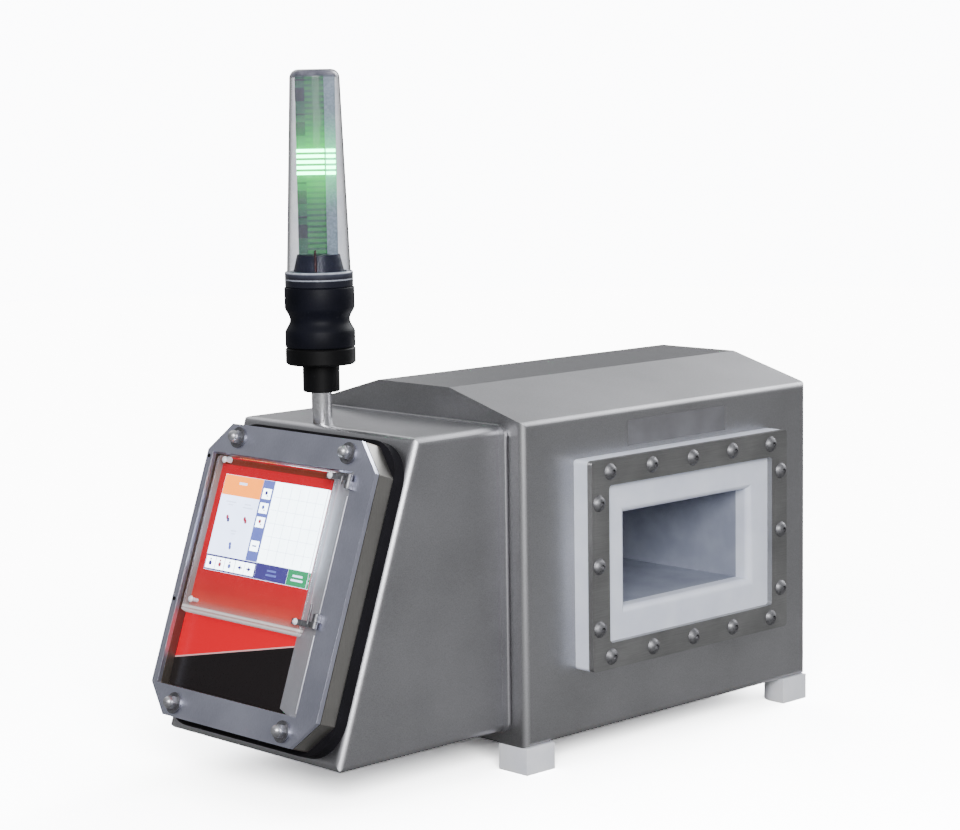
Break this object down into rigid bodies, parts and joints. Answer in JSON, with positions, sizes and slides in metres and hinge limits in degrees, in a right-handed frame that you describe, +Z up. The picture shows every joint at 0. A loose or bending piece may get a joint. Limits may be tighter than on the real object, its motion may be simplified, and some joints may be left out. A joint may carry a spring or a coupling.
{
  "type": "industrial metal detector",
  "caption": "Stainless aperture metal detector with a clamped white plastic mouth, a sloped control box with touch screen behind a hinged clear cover, and a tall signal tower.",
  "frame": {"origin": "centre of the bounding box, on the floor under the feet", "axes": "+Z up; +Y runs through the aperture, from the front flange to the rear flange; +X from the control box towards the head"},
  "size_m": [0.7248, 0.3854, 0.7225],
  "materials": {
    "head_case": "bead-blasted stainless",
    "neck_flange": "bead-blasted stainless",
    "control_box": "bead-blasted stainless",
    "foot": "white food-grade plastic",
    "screws": "bright stainless",
    "white_plastic": "white machined acetal",
    "former": "glass-filled laminate",
    "copper": "enamelled copper winding",
    "frame": "bead-blasted stainless",
    "label": "matte grey film",
    "board": "circuit board",
    "brass": "brass",
    "seal": "black sponge rubber",
    "door": "bead-blasted stainless",
    "panel": "printed polyester film, red above black",
    "screen": "lit touch screen",
    "lcd": "black sheet metal",
    "strip": "bead-blasted stainless",
    "bright": "polished stainless",
    "cover": "clear polycarbonate",
    "bumper": "white plastic",
    "black_plastic": "black plastic",
    "housing": "near-black moulded plastic",
    "lens_collar": "clear polycarbonate",
    "lens": "clear polycarbonate",
    "chip": "unlit lamp segments",
    "lit": "lit green lamp segments",
    "module": "dark grey plastic",
    "guide": "translucent grey plastic",
    "gland": "black nylon",
    "zinc": "zinc-plated sheet",
    "supply": "perforated aluminium case",
    "terminal": "beige terminal plastic"
  },
  "bodies": {
    "machine": {"head_case": "head_case", "neck_flange": "neck_flange", "control_box": "control_box", "front_left_foot": "foot", "front_right_foot": "foot", "rear_right_foot": "foot", "rear_left_foot": "foot", "foot_screws": "screws", "aperture_liner": "white_plastic", "coil_former": "former", "transmit_coil": "copper", "front_receive_coil": "copper", "rear_receive_coil": "copper", "front_flange_plate": "white_plastic", "rear_flange_plate": "white_plastic", "front_clamp_frame": "frame", "rear_clamp_frame": "frame", "front_frame_bolts": "screws", "rear_frame_bolts": "screws", "label_strip": "label", "balance_board": "board", "balance_board_standoffs": "brass", "door_seal": "seal", "door_pan": "door", "door_plate": "door", "door_studs": "screws", "door_washers": "screws", "cap_nuts": "bright", "printed_panel": "panel", "touch_glass": "screen", "lcd_module": "lcd", "display_board": "board", "hinge_strip": "strip", "upper_knuckle": "strip", "lower_knuckle": "strip", "tower_tube": "bright", "tower_collar": "black_plastic", "tower_ring": "black_plastic", "tower_housing": "housing", "lens_collar": "lens_collar", "lens": "lens", "light_base": "housing", "light_board": "board", "light_segments": "chip", "lit_segments": "lit", "lamp_modules": "module", "light_guide": "guide", "cable_glands": "gland", "mounting_plate": "zinc", "standoffs": "brass", "power_supply": "supply", "control_board": "board", "terminal_block": "terminal"},
    "screen_cover": {"clear_cover": "cover", "upper_cover_arm": "bright", "lower_cover_arm": "bright", "cover_bumpers": "bumper", "cover_screws": "bumper", "upper_hinge_pin": "bright", "lower_hinge_pin": "bright"}
  },
  "joints": [
    {"name": "cover_hinge", "type": "hinge", "parent": "machine", "child": "screen_cover", "pos_m": [-0.29404, -0.096, 0.25014], "axis": [0.3339, 0, 0.9426], "range_deg": [0, 115]}
  ]
}
